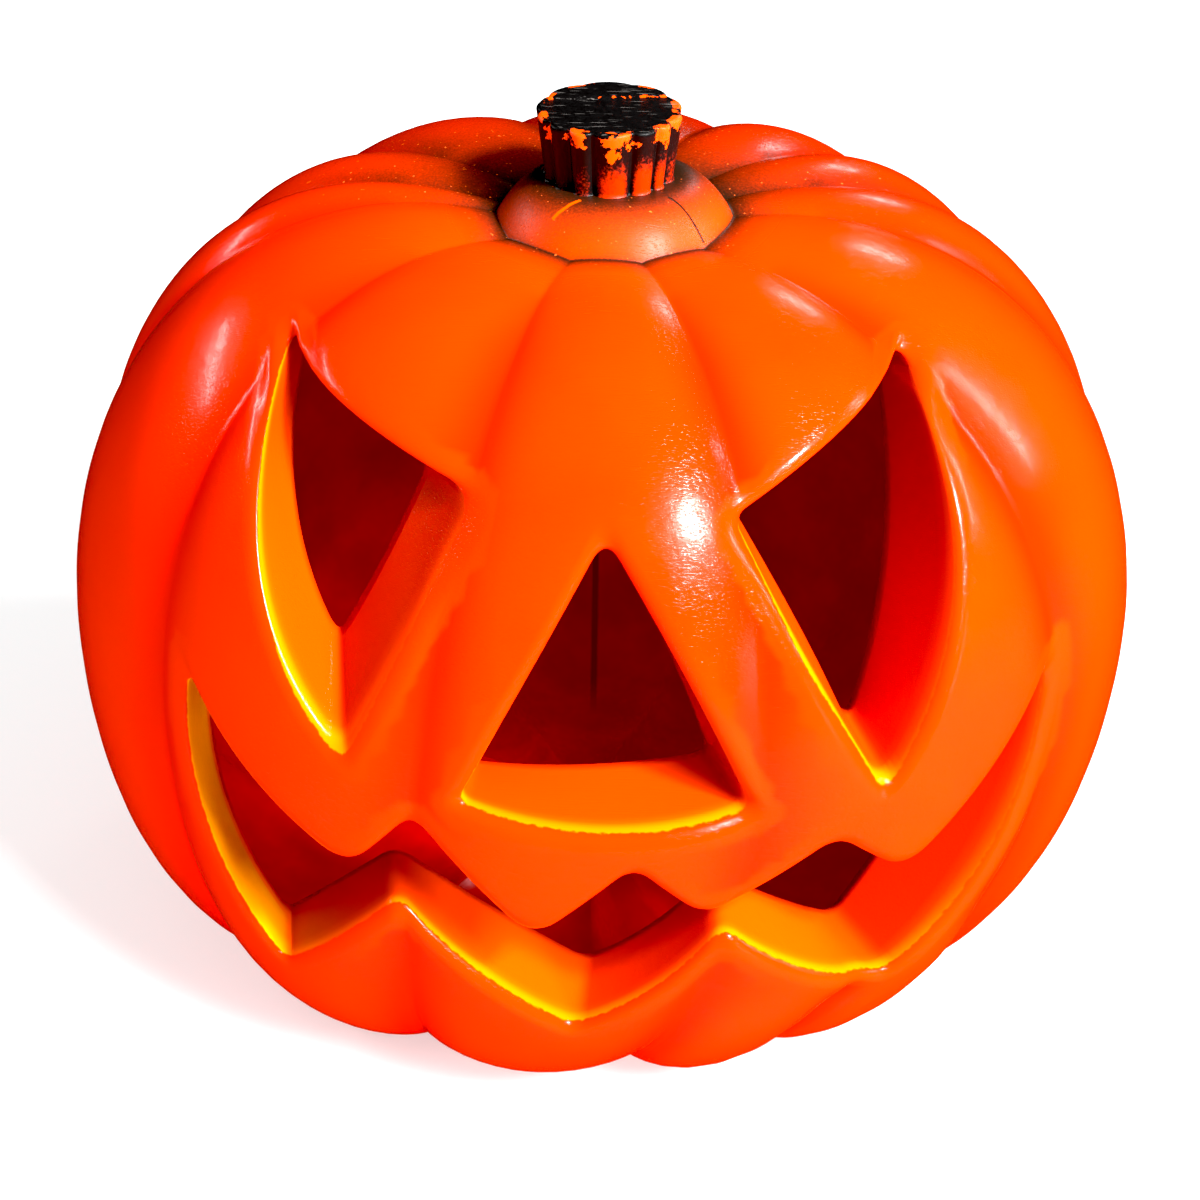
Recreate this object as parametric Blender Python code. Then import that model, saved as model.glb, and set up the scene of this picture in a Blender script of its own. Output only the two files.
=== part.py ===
# Carved pumpkin lantern: one hollow moulded shell with its collar and stem.
# Lengths are in millimetres until the mesh is made, which is in metres.
# x runs to the right of the face, z up, and the face looks along -y.
import bpy
import bmesh
import math
import numpy as np
from mathutils import Vector
from mathutils.geometry import delaunay_2d_cdt

millimetre = 0.001

# body
bodyRadius = 120.2
upperHeight = 98.3
lowerHeight = 87.5
upperFullness = 0.72      # below 1 squares the shoulder, 1 is an ellipse
lowerFullness = 0.385
upperDip = 13.0           # hollow round the stem
upperDipRadius = 45.0
lowerDip = 14.0           # hollow underneath
lowerDipRadius = 54.0
lowerLean = -3.0          # the underside is drawn off to the left
wall = 2.0
restFlat = 1.0            # what the flat spots under the lobes take off

# grooves: direction at the shoulder, the equator and the foot, in degrees from the front
grooves = (
    (-162, -160, -160),
    (-128, -131, -133),
    (-107, -117, -119),
    (-93, -96, -99),
    (-55, -51.5, -49.5),
    (-16, -18.5, -21.5),
    (16.5, 15, 6),
    (50, 55.5, 43),
    (89, 97, 96),
    (110, 120, 119),
    (131, 138, 138),
    (158, 163, 163),
)
grooveDepth = 4.5
lobeFullness = 0.58       # the lower, the fuller the lobes and the sharper the grooves
grooveFloor = 0.05        # rounds the bottom of a groove
grooveBend = 0.85         # cosine of the profile angle where the shoulder and foot directions hold
footDeepening = 0.3       # the grooves get deeper towards the foot by this share
shoulderShare = 0.5       # of that depth is left where the lobes run under the collar
shoulderFade = 45.0       # the width over which it grows to the full depth
footFade = 30.0           # the grooves run out within this radius underneath
splitLobe = 6             # this lobe has a short groove of its own below the mouth
splitTop = -0.42          # cosine of the profile angle where that groove starts
splitFull = -0.62

# carved openings
rimRound = 3.0
mouthDepth = 20.0
eyeDepth = 25.0
rimWall = 1.8

# stem and collar
collarRadius = 26.5
collarRise = 11.0
collarPlace = (2.0, -2.0)
stemFootRadius = 13.8
stemTopRadius = 15.8
stemFootHeight = 97.0     # above the equator
stemTopHeight = 112.0
stemRibs = (-155, -115, -84, -59, -36, -14, 20, 44, 61, 90, 122, 160)   # hollows between the ribs
stemPlace = 0.5
stemRibDepth = 1.6
stemEdge = 1.2
collarShares = (0.3, 0.62, 1)   # rings of the collar, from its edge to the foot of the stem

# Outlines run anticlockwise in the front view. Each corner has its place (x, z above the
# equator), the length that its rounding takes from both sides, the bulge of the side that
# follows it, and the place and bulge of the same corner at the back end of its pocket.
leftEye = (
    ((-65, 78.5), 4, 10, (-60.5, 78), 6),
    ((-50.5, 16), 4, 0, (-52.5, 31), 0),
    ((-23.5, 65.5), 6, 1, (-34, 65), 1),
)
rightEye = (
    ((61.5, 79), 4, 1, (54.5, 80), 1),
    ((26, 62.5), 3, 0, (23.5, 60), -2),
    ((57.5, 9), 5, 12, (50.5, 10.5), 5.5),
)
nose = (
    ((1, 63), 5, 1, (0, 58), 1),
    ((-27.5, 11.5), 3, 3, (-25.5, 10), -0.5),
    ((31.5, 8.5), 4, 2, (22, 12.5), 2),
)
mouth = (
    ((-84.5, 19.5), 4, 7, (-81, 18.5), 6.5),
    ((-65.5, -45.5), 3, 0, (-67.5, -46), -1),
    ((-40, -17), 4, 1.5, (-41.5, -14.5), -0.5),
    ((-4.5, -46.5), 3, 2.5, (-2.5, -42.5), 2),
    ((26, -21.5), 5, 2, (23.5, -17), -1),
    ((62, -46.5), 3, 10, (50.5, -43.5), 4),
    ((94.5, 16.5), 5, -1, (82, 17), -1),
    ((63, -13), 6, 0, (56, -13), 0),
    ((48.5, 0), 5, 0, (42, 0), 0),
    ((23, -17), 7, 0, (19, -13), 0),
    ((7.5, -0.5), 5, 0, (4, 0), 0),
    ((-12.5, -19.5), 7, 0, (-14, -18.5), 0),
    ((-36.5, 5), 5, 0, (-38, 5), 0),
    ((-50, -10), 6, -2, (-51, -9), -2),
)

# how finely the faceted body is divided
lobePlaces = (0, 0.1, 0.28, 0.5, 0.72, 0.9)
innerPlaces = (0, 0.12, 0.5, 0.88)
outerRows = 25
innerRows = 19
sideStep = 7.0
cornerSteps = 3
rimSteps = 3
gridSpacing = 1.6         # grid points nearer than this to an opening are left out
poleAngle = 0.02          # the skins are closed by a flat cap inside this profile angle
frontLobes = (3, 8)       # the carved front, from the first of these grooves to the second
frontAngles = (0.35, 2.62)


def crest(phi):
    sine, cosine = np.sin(phi), np.cos(phi)
    fullness = np.where(cosine > 0, upperFullness, lowerFullness)
    radius = bodyRadius * np.abs(sine) ** fullness
    height = np.where(cosine > 0, upperHeight, lowerHeight) * cosine
    upper = upperDip * np.maximum(cosine, 0) * np.exp(-(radius / upperDipRadius) ** 2)
    lower = lowerDip * np.maximum(-cosine, 0) * np.exp(-(radius / lowerDipRadius) ** 2)
    return radius, height - upper + lower


def crestNormal(phi):
    step = 1e-3
    before, after = crest(phi - step), crest(phi + step)
    along, down = after[0] - before[0], after[1] - before[1]
    length = np.hypot(along, down)
    return -down / length, along / length


def smooth(value):
    value = np.clip(value, 0, 1)
    return value * value * (3 - 2 * value)


def grooveAzimuth(index, cosine):
    top, middle, foot = (np.array(column)[index % len(grooves)] for column in zip(*grooves))
    bend = (top + foot) / 2 - middle
    turn = (top - foot) / 2
    level = cosine / grooveBend
    return np.radians(middle + turn * level + bend * level * level) + (index // len(grooves)) * 2 * math.pi


def azimuth(place, cosine):
    index = np.floor(place).astype(int)
    share = place - index
    return grooveAzimuth(index, cosine) * (1 - share) + grooveAzimuth(index + 1, cosine) * share


def lobeShape(share):
    return (np.sin(math.pi * share) ** 2 + grooveFloor ** 2) ** (lobeFullness / 2)


def grooveAt(phi, place, radius):
    index = np.floor(place).astype(int)
    share = place - index
    shape = lobeShape(share)
    split = smooth((splitTop - np.cos(phi)) / (splitTop - splitFull))
    split = np.where(index % len(grooves) == splitLobe, split, 0)
    shape = shape * (1 - split) + lobeShape(np.mod(share * 2, 1)) * split
    fade = shoulderShare + (1 - shoulderShare) * smooth((radius - collarRadius) / shoulderFade)
    deeper = 1 + footDeepening * smooth((-np.cos(phi) - 0.2) / 0.7)
    fade = np.where(np.cos(phi) > 0, fade, smooth(radius / footFade) * deeper)
    return grooveDepth * (1 - np.minimum(shape, 1)) * fade


def body(phi, place, inset=0.0):
    radius, height = crest(phi)
    outward, upward = crestNormal(phi)
    depth = inset + grooveAt(phi, place, radius)
    radius = radius - depth * outward
    height = height - depth * upward
    cosine = np.cos(phi)
    turn = azimuth(place, cosine)
    lean = lowerLean * np.minimum(cosine, 0) ** 2
    lowest = restLevel + inset
    return np.stack([radius * np.sin(turn) + lean, -radius * np.cos(turn), np.maximum(height, lowest)], -1)


profileAngles = np.linspace(1e-4, math.pi - 1e-4, 3000)
profileRadius, profileHeight = crest(profileAngles)
profileLength = np.concatenate([[0], np.cumsum(np.hypot(np.diff(profileRadius), np.diff(profileHeight)))])
restLevel = profileHeight.min() + restFlat
shoulderAngle = profileAngles[np.argmax(profileHeight)] + poleAngle
footAngle = profileAngles[np.argmin(profileHeight)] - poleAngle


def findOnBody(x, z, inset=0.0):
    # the place and profile angle of the front of the body at x, z
    low, high = (np.full_like(x, float(lobe)) for lobe in frontLobes)
    for _ in range(34):
        place = (low + high) / 2
        top, foot = np.full_like(x, shoulderAngle), np.full_like(x, footAngle)
        for _ in range(30):
            phi = (top + foot) / 2
            above = body(phi, place, inset)[:, 2] > z
            top, foot = np.where(above, phi, top), np.where(above, foot, phi)
        left = body(phi, place, inset)[:, 0] < x
        low, high = np.where(left, place, low), np.where(left, high, place)
    return place, phi


def mouldFront(x, z):
    # y of the smooth body without its grooves
    top, foot = np.full_like(z, shoulderAngle), np.full_like(z, footAngle)
    for _ in range(30):
        phi = (top + foot) / 2
        above = crest(phi)[1] > z
        top, foot = np.where(above, phi, top), np.where(above, foot, phi)
    return -np.sqrt(np.maximum(crest(phi)[0] ** 2 - x ** 2, 0))


def outline(corners, grow, back=False):
    # the outline with its sides moved out by grow, always with the same number of points
    count = len(corners)
    fronts = [np.array(corner[0], float) for corner in corners]
    places = [np.array(corner[3], float) for corner in corners] if back else fronts
    bulges = [corner[4] if back else corner[2] for corner in corners]
    normals = []
    for index in range(count):
        chord = places[(index + 1) % count] - places[index]
        length = np.linalg.norm(chord)
        chord = chord / length
        outside = np.array([chord[1], -chord[0]])
        lean = 4 * bulges[index] / length
        normals.append([(outside - lean * chord) / math.hypot(1, lean),
                        (outside + lean * chord) / math.hypot(1, lean)])
    moved = []
    for index in range(count):
        before, after = normals[index - 1][1], normals[index][0]
        moved.append(places[index] + grow * (before + after) / (1 + before @ after))

    def side(index, share):
        start, end = moved[index], moved[(index + 1) % count]
        chord = end - start
        outside = np.array([chord[1], -chord[0]]) / np.linalg.norm(chord)
        slip = (places[index] + places[(index + 1) % count] - start - end) @ outside / 2
        bulge = bulges[index] + grow + slip
        return start + share * chord + 4 * bulge * share * (1 - share) * outside

    points = []
    for index in range(count):
        cut = corners[index][1]
        lengthBefore = np.linalg.norm(fronts[index] - fronts[index - 1])
        length = np.linalg.norm(fronts[(index + 1) % count] - fronts[index])
        start, middle, end = side(index - 1, 1 - cut / lengthBefore), moved[index], side(index, cut / length)
        for step in range(cornerSteps + 1):
            share = step / cornerSteps
            points.append((1 - share) ** 2 * start + 2 * share * (1 - share) * middle + share ** 2 * end)
        cutNext = corners[(index + 1) % count][1]
        steps = max(1, round((length - cut - cutNext) / sideStep))
        for step in range(1, steps):
            share = (cut + (length - cut - cutNext) * step / steps) / length
            points.append(side(index, share))
    return np.array(points)


def openingRings(corners, depth):
    # loops of points from the outer skin, round the rim and through the pocket wall to the
    # inner skin, and the places of the first and last loop on the body
    edge = outline(corners, 0)
    place, phi = findOnBody(edge[:, 0], edge[:, 1])
    edgePoints = body(phi, place)
    outerPlace = findOnBody(*outline(corners, rimRound).T)
    outer = body(outerPlace[1], outerPlace[0])
    floor = mouldFront(edge[:, 0], edge[:, 1]) + depth
    end = outline(corners, 0, True)
    endPoints = np.stack([end[:, 0], floor, end[:, 1]], -1)
    along = np.roll(end, -1, 0) - np.roll(end, 1, 0)
    back = end + rimWall * np.stack([along[:, 1], -along[:, 0]], -1) / np.hypot(*along.T)[:, None]
    backPoints = np.stack([back[:, 0], floor, back[:, 1]], -1)
    wallWay = endPoints - edgePoints
    wallWay = wallWay / np.linalg.norm(wallWay, axis=1)[:, None]
    inside = edgePoints + rimRound * wallWay
    rings = [outer]
    for step in range(1, rimSteps):
        share = step / rimSteps
        weights = ((1 - share) ** 2, 1.4 * share * (1 - share), share ** 2)
        blend = weights[0] * outer + weights[1] * edgePoints + weights[2] * inside
        rings.append(blend / sum(weights))
    innerPlace = findOnBody(*outline(corners, wall).T, wall)
    inner = body(innerPlace[1], innerPlace[0], wall)
    rings += [inside, (inside + endPoints) / 2, endPoints, backPoints, (backPoints + inner) / 2, inner]
    return rings, outerPlace, innerPlace


def rowAngles(count, first, last):
    start, stop = np.interp([first, last], profileAngles, profileLength)
    return np.interp(np.linspace(start, stop, count), profileLength, profileAngles)


def insideLoop(loop, point):
    following = np.roll(loop, -1, 0)
    crosses = (loop[:, 1] > point[1]) != (following[:, 1] > point[1])
    rise = np.where(following[:, 1] == loop[:, 1], 1, following[:, 1] - loop[:, 1])
    at = loop[:, 0] + (point[1] - loop[:, 1]) / rise * (following[:, 0] - loop[:, 0])
    return bool(np.sum(crosses & (point[0] < at)) % 2)


def loopDistance(loop, point):
    following = np.roll(loop, -1, 0)
    way = following - loop
    share = np.clip(((point - loop) * way).sum(1) / (way ** 2).sum(1), 0, 1)
    return np.linalg.norm(point - loop - way * share[:, None], axis=1).min()


def flat(place, phi):
    # the skin unrolled: place and profile angle as lengths in the plane
    scale = 2 * math.pi * bodyRadius / len(grooves)
    return np.stack([place * scale, np.interp(phi, profileAngles, profileLength)], -1)


class Skin:
    # the vertices and faces that the whole shell is gathered in
    def __init__(self):
        self.points = []
        self.faces = []

    def add(self, points):
        first = len(self.points)
        self.points += [tuple(point) for point in points]
        return list(range(first, len(self.points)))

    def bridge(self, one, other, crossed=False):
        # triangles between two loops; crossed ones are cut along the other diagonal
        for index in range(len(one)):
            after = (index + 1) % len(one)
            if crossed:
                self.faces.append((one[index], one[after], other[index]))
                self.faces.append((one[after], other[after], other[index]))
            else:
                self.faces.append((one[index], one[after], other[after]))
                self.faces.append((one[index], other[after], other[index]))


def onFront(angle):
    return frontAngles[0] <= angle < frontAngles[1]


def addSkin(skin, places, angles, inset, loops):
    # the grid of one skin, with the loops of the openings worked into its front
    grid = []
    for phi in angles:
        grid.append(skin.add(body(np.full(len(places), phi), places, inset)))
    left, right = (int(np.searchsorted(places, lobe)) for lobe in frontLobes)
    for row in range(len(angles) - 1):
        for column in range(len(places)):
            if left <= column < right and onFront(angles[row]):
                continue
            after = (column + 1) % len(places)
            skin.faces.append((grid[row][column], grid[row + 1][column],
                               grid[row + 1][after], grid[row][after]))
    rows = [row for row in range(len(angles) - 1) if onFront(angles[row])]
    rows.append(rows[-1] + 1)
    flatLoops = [flat(*place) for place, _ in loops]
    spots, names = [], []
    border = []
    for row in rows:
        for column in range(left, right + 1):
            spot = flat(places[column], angles[row])
            onBorder = row in (rows[0], rows[-1]) or column in (left, right)
            clear = all(not insideLoop(loop, spot) and loopDistance(loop, spot) > gridSpacing
                        for loop in flatLoops)
            if onBorder or clear:
                spots.append(spot)
                names.append(grid[row][column])
    for loop, (_, ring) in zip(flatLoops, loops):
        first = len(spots)
        spots += list(loop)
        names += ring
        border += [(first + index, first + (index + 1) % len(loop)) for index in range(len(loop))]
    flatFaces = delaunay_2d_cdt([Vector(spot) for spot in spots], border, [], 0, 1e-5)[2]
    for face in flatFaces:
        middle = sum(spots[corner] for corner in face) / 3
        if not any(insideLoop(loop, middle) for loop in flatLoops):
            skin.faces.append([names[corner] for corner in face])
    return grid


def collarHeight(radius):
    share = np.clip((radius - stemFootRadius) / (collarRadius - stemFootRadius), 0, 2)
    return stemFootHeight - collarRise * share ** 2.2


def collarMeeting(place):
    # profile angle where the body comes out from under the collar
    low, high = np.full_like(place, 0.01), np.full_like(place, shoulderAngle)
    for _ in range(30):
        phi = (low + high) / 2
        spot = body(phi, place)
        reach = np.hypot(spot[:, 0] - collarPlace[0], spot[:, 1] - collarPlace[1])
        under = spot[:, 2] < collarHeight(reach)
        low, high = np.where(under, phi, low), np.where(under, high, phi)
    return phi


def stemRing(places, radius, height, ribDepth):
    hollows = np.radians(stemRibs + (stemRibs[0] + 360,))
    turn = np.interp(places, np.arange(len(hollows)), hollows)
    reach = radius - ribDepth * (1 - lobeShape(places % 1))
    return np.stack([stemPlace + reach * np.sin(turn), -reach * np.cos(turn), np.full(len(places), height)], -1)


def makeShell():
    skin = Skin()
    places = np.array([lobe + share for lobe in range(len(grooves)) for share in lobePlaces])
    placesInside = np.array([lobe + share for lobe in range(len(grooves)) for share in innerPlaces])
    outerLoops, innerLoops = [], []
    openings = ((leftEye, eyeDepth), (rightEye, eyeDepth), (nose, mouthDepth), (mouth, mouthDepth))
    for corners, depth in openings:
        rings, outerPlace, innerPlace = openingRings(corners, depth)
        loops = [skin.add(ring) for ring in rings]
        for one, other in zip(loops, loops[1:]):
            skin.bridge(one, other, one in loops[-3:])
        outerLoops.append((outerPlace, loops[0]))
        innerLoops.append((innerPlace, loops[-1]))

    angles = rowAngles(outerRows, shoulderAngle, math.pi - poleAngle)
    grid = addSkin(skin, places, angles, 0, outerLoops)
    skin.faces.append(grid[-1])

    # from the shoulder inwards: the meeting with the collar, the collar and the stem
    meetingAngles = collarMeeting(places)
    meeting = body(meetingAngles, places)
    shoulder = body(np.full(len(places), angles[0]), places)
    between = body((meetingAngles + angles[0]) / 2, places)
    foot = stemRing(places, stemFootRadius, stemFootHeight, stemRibDepth)
    rings = [between, meeting]
    for share in collarShares:
        ring = meeting * (1 - share) + foot * share
        reach = np.hypot(ring[:, 0] - collarPlace[0], ring[:, 1] - collarPlace[1])
        ring[:, 2] = collarHeight(reach) if share < 1 else stemFootHeight
        rings.append(ring)
    height = stemTopHeight - stemEdge
    rings.append(stemRing(places, stemTopRadius, height, stemRibDepth))
    rings.append(stemRing(places, stemTopRadius - stemEdge * 0.3, height + stemEdge * 0.7, stemRibDepth))
    rings.append(stemRing(places, stemTopRadius - stemEdge, stemTopHeight, stemRibDepth * 0.6))
    last = grid[0]
    for ring in rings:
        loop = skin.add(ring)
        skin.bridge(last, loop)
        last = loop
    skin.faces.append(last)

    innerAngles = rowAngles(innerRows, poleAngle, math.pi - poleAngle)
    innerGrid = addSkin(skin, placesInside, innerAngles, wall, innerLoops)
    skin.faces.append(innerGrid[0])
    skin.faces.append(innerGrid[-1])
    return skin


def plasticMaterial():
    material = bpy.data.materials.new("orange_plastic")
    material.use_nodes = True
    shader = material.node_tree.nodes["Principled BSDF"]
    shader.inputs["Base Color"].default_value = (1.0, 0.13, 0.005, 1)
    shader.inputs["Roughness"].default_value = 0.3
    return material


def build():
    for thing in list(bpy.data.objects):
        bpy.data.objects.remove(thing, do_unlink=True)
    skin = makeShell()
    points = np.array(skin.points)
    low, high = points.min(0), points.max(0)
    points -= np.array([(low[0] + high[0]) / 2, (low[1] + high[1]) / 2, low[2]])
    mesh = bpy.data.meshes.new("lantern_shell")
    mesh.from_pydata([tuple(point) for point in points * millimetre], [], skin.faces)
    work = bmesh.new()
    work.from_mesh(mesh)
    bmesh.ops.delete(work, geom=[vertex for vertex in work.verts if not vertex.link_faces], context="VERTS")
    bmesh.ops.recalc_face_normals(work, faces=work.faces)
    bmesh.ops.triangulate(work, faces=[face for face in work.faces if len(face.verts) > 3])
    work.to_mesh(mesh)
    work.free()
    mesh.materials.append(plasticMaterial())
    shell = bpy.data.objects.new("lantern_shell", mesh)
    collection = bpy.data.collections.new("carved_pumpkin_lantern")
    bpy.context.scene.collection.children.link(collection)
    collection.objects.link(shell)


build()
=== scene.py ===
import math

import bmesh
import bpy
import numpy as np
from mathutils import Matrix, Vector, noise
from mathutils.geometry import delaunay_2d_cdt


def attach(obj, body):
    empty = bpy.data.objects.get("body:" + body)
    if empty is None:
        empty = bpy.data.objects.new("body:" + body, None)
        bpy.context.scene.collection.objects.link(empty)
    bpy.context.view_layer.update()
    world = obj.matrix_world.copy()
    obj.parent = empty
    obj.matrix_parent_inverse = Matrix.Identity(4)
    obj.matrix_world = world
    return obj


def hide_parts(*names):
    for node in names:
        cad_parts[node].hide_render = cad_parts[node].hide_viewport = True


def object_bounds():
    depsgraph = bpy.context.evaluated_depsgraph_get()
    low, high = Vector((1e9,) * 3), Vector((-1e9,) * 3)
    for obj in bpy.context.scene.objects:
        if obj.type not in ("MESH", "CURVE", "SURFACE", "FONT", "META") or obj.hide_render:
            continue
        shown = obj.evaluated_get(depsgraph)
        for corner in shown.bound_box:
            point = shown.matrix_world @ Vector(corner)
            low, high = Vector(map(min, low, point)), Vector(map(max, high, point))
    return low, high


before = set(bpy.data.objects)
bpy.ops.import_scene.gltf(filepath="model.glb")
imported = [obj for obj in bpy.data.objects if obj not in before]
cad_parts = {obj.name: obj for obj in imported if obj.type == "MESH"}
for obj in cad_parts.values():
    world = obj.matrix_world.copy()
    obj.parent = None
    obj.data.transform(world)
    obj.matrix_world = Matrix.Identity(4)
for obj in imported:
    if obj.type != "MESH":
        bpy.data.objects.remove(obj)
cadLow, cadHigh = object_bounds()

millimetre = 0.001
print("frame loaded")


def linear(hexColour):
    # sRGB hex to the linear colour that Blender's sockets take
    channels = [int(hexColour[i:i + 2], 16) / 255 for i in (1, 3, 5)]
    return tuple(c / 12.92 if c <= 0.04045 else ((c + 0.055) / 1.055) ** 2.4 for c in channels) + (1.0,)


# ---- shape of the moulded shell, in mm, heights measured from the widest level ----

shell = {
    "radius": 120.2, "upperHeight": 98.3, "lowerHeight": 87.5,
    "upperFullness": 0.72, "lowerFullness": 0.385,   # below 1 the profile is squarer than an ellipse
    "upperDip": 13.0, "upperDipRadius": 45.0,        # hollow round the stem
    "lowerDip": 14.0, "lowerDipRadius": 54.0,        # hollow underneath
    "lowerLean": -3.0, "wall": 2.0, "restFlat": 1.0,
    "grooveDepth": 4.5, "lobeFullness": 0.58, "grooveFloor": 0.05, "grooveBend": 0.85,
    "footDeepening": 0.3, "shoulderShare": 0.25, "shoulderFade": 45.0, "footFade": 30.0,
    "splitLobe": 6, "splitTop": -0.42, "splitFull": -0.62,   # a short extra groove low on the right
    "brushedReach": 16.0,                            # rubbed duller this far out from the collar
    "waviness": 0.25, "wavinessSpan": 38.0,          # a blown skin is never quite true
    "columns": (0, 0.02, 0.045, 0.08, 0.13, 0.2, 0.28, 0.36, 0.44, 0.5, 0.56, 0.64, 0.72, 0.8, 0.87, 0.92, 0.955, 0.98),
    "columnsInside": (0, 0.06, 0.15, 0.3, 0.5, 0.7, 0.85, 0.94),
    "rows": 110, "rowsInside": 60, "gridSpacing": 1.3, "poleAngle": 0.02,
    "frontLobes": (3, 8), "frontAngles": (0.35, 2.62),
}

# directions of the grooves at shoulder, middle and foot, in degrees from the front
grooves = (
    (-162, -160, -160), (-128, -131, -133), (-107, -117, -119), (-93, -96, -99),
    (-55, -51.5, -49.5), (-16, -18.5, -21.5), (16.5, 15, 6), (50, 55.5, 43),
    (89, 97, 96), (110, 120, 119), (131, 138, 138), (158, 163, 163),
)

carving = {"rimRound": 3.0, "mouthDepth": 20.0, "eyeDepth": 25.0, "rimWall": 1.8,
           "sideStep": 2.2, "cornerSteps": 7, "rimSteps": 7, "wallSteps": 9}

# Corners run anticlockwise seen from the front. Each has its place (x, z), the length its
# rounding takes, the bulge of the side after it, and the place and bulge at the pocket's back.
leftEye = (
    ((-65, 78.5), 4, 10, (-60.5, 78), 6),
    ((-50.5, 16), 4, 0, (-52.5, 31), 0),
    ((-23.5, 65.5), 6, 1, (-34, 65), 1),
)
rightEye = (
    ((61.5, 79), 4, 1, (54.5, 80), 1),
    ((26, 62.5), 3, 0, (23.5, 60), -2),
    ((57.5, 9), 5, 12, (50.5, 10.5), 5.5),
)
nose = (
    ((1, 63), 5, 1, (0, 58), 1),
    ((-27.5, 11.5), 3, 3, (-25.5, 10), -0.5),
    ((31.5, 8.5), 4, 2, (22, 12.5), 2),
)
mouth = (
    ((-84.5, 19.5), 4, 7, (-81, 18.5), 6.5),
    ((-65.5, -45.5), 3, 0, (-67.5, -46), -1),
    ((-40, -17), 4, 1.5, (-41.5, -14.5), -0.5),
    ((-4.5, -46.5), 3, 2.5, (-2.5, -42.5), 2),
    ((26, -21.5), 5, 2, (23.5, -17), -1),
    ((62, -46.5), 3, 10, (50.5, -43.5), 4),
    ((94.5, 16.5), 5, -1, (82, 17), -1),
    ((63, -13), 6, 0, (56, -13), 0),
    ((48.5, 0), 5, 0, (42, 0), 0),
    ((23, -17), 7, 0, (19, -13), 0),
    ((7.5, -0.5), 5, 0, (4, 0), 0),
    ((-12.5, -19.5), 7, 0, (-14, -18.5), 0),
    ((-36.5, 5), 5, 0, (-38, 5), 0),
    ((-50, -10), 6, -2, (-51, -9), -2),
)

collar = {"radius": 26.5, "rise": 11.0, "place": (2.0, -2.0), 
          "rings": (0.015, 0.045, 0.1, 0.18, 0.28, 0.38, 0.48, 0.58, 0.68, 0.77, 0.85, 0.92, 1.02)}

stem = {
    "footRadius": 13.8, "topRadius": 15.8, "footHeight": 97.0, "topHeight": 112.0, "place": 0.5,
    "ribDepth": 1.6, "edge": 1.2, "sunk": 2.0, "columnsPerRib": 16, "rows": 34,
    "frontTurn": 28, "frontSpan": 42,                # the black is thin low on this side
    "fillet": 1.3,                                   # the stem flares where it meets the collar
    "hollows": (-155, -115, -84, -59, -36, -14, 20, 44, 61, 90, 122, 160),   # between the ribs
    "stepHeight": 0.5, "stepFrom": (-14, 4.5), "stepTo": (14.5, 7.5),        # the back half of the top stands higher
    # where the black has come off: direction in degrees, height share, half width in degrees, half height share
    "chips": ((-74, 0.97, 9, 0.09), (-58, 0.84, 7, 0.13), (-28, 0.93, 11, 0.16), (8, 0.9, 15, 0.2), (2, 0.68, 4, 0.16),
              (47, 0.93, 10, 0.13), (55, 0.82, 6, 0.14), (72, 0.96, 12, 0.14), (85, 0.84, 7, 0.2), (104, 0.95, 12, 0.12),
              (150, 0.95, 10, 0.1), (-150, 0.97, 12, 0.1), (-112, 0.94, 9, 0.14)),
}


# painted light and shade on the cut walls: yellow where they face up to the right, deep red painted shade where they
# face away, darker again on the right of the face, with painted light near their rims and in the left end of the mouth
# corners of the eyes where the spray has come off the rim too: x, z and reach
wornCorners = ((-50.5, 17, 14), (-57, 28, 8), (40, 36, 12), (57, 10, 8))
wornGrowth = 0.55

# painted light and shade on the cut walls: the weights of facing right and up, the share of the depth the painted rim
# band takes, where the painted light in the mouth's left end starts and fades, and where the painted shade on the right
# starts and fades
wallPaintedLight = {"right": 0.68, "up": 0.66, "band": 0.17, "armFrom": -60.0, "armFade": 9.0,
            "paintedShadeFrom": 48.0, "paintedShadeFade": 20.0}

# the edge strength and the width after it give a dark line along the collar's edge, painted shade in the crease there;
# the rest is black overspray
soot = {"ring": 3.0, "ringFade": 4.2, "edge": 0.45, "creaseShadeWidth": 0.8, "skirt": 1.8, "skirtWidth": 3.0,
        "grooves": 2.6, "grooveReach": 8.5, "cloud": 1.2, "cloudReach": 24.0, "behindFrom": 10.0, "behindFade": 26.0}


def smooth(value):
    value = np.clip(value, 0, 1)
    return value * value * (3 - 2 * value)


def crest(phi):
    sine, cosine = np.sin(phi), np.cos(phi)
    fullness = np.where(cosine > 0, shell["upperFullness"], shell["lowerFullness"])
    radius = shell["radius"] * np.abs(sine) ** fullness
    height = np.where(cosine > 0, shell["upperHeight"], shell["lowerHeight"]) * cosine
    upper = shell["upperDip"] * np.maximum(cosine, 0) * np.exp(-(radius / shell["upperDipRadius"]) ** 2)
    lower = shell["lowerDip"] * np.maximum(-cosine, 0) * np.exp(-(radius / shell["lowerDipRadius"]) ** 2)
    return radius, height - upper + lower


def crestNormal(phi):
    step = 1e-3
    before, after = crest(phi - step), crest(phi + step)
    along, down = after[0] - before[0], after[1] - before[1]
    length = np.hypot(along, down)
    return -down / length, along / length


def grooveAzimuth(index, cosine):
    top, middle, foot = (np.array(column)[index % len(grooves)] for column in zip(*grooves))
    level = cosine / shell["grooveBend"]
    degrees = middle + (top - foot) / 2 * level + ((top + foot) / 2 - middle) * level * level
    return np.radians(degrees) + (index // len(grooves)) * 2 * math.pi


def azimuth(place, cosine):
    index = np.floor(place).astype(int)
    share = place - index
    return grooveAzimuth(index, cosine) * (1 - share) + grooveAzimuth(index + 1, cosine) * share


def lobeShape(share):
    return (np.sin(math.pi * share) ** 2 + shell["grooveFloor"] ** 2) ** (shell["lobeFullness"] / 2)


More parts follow.
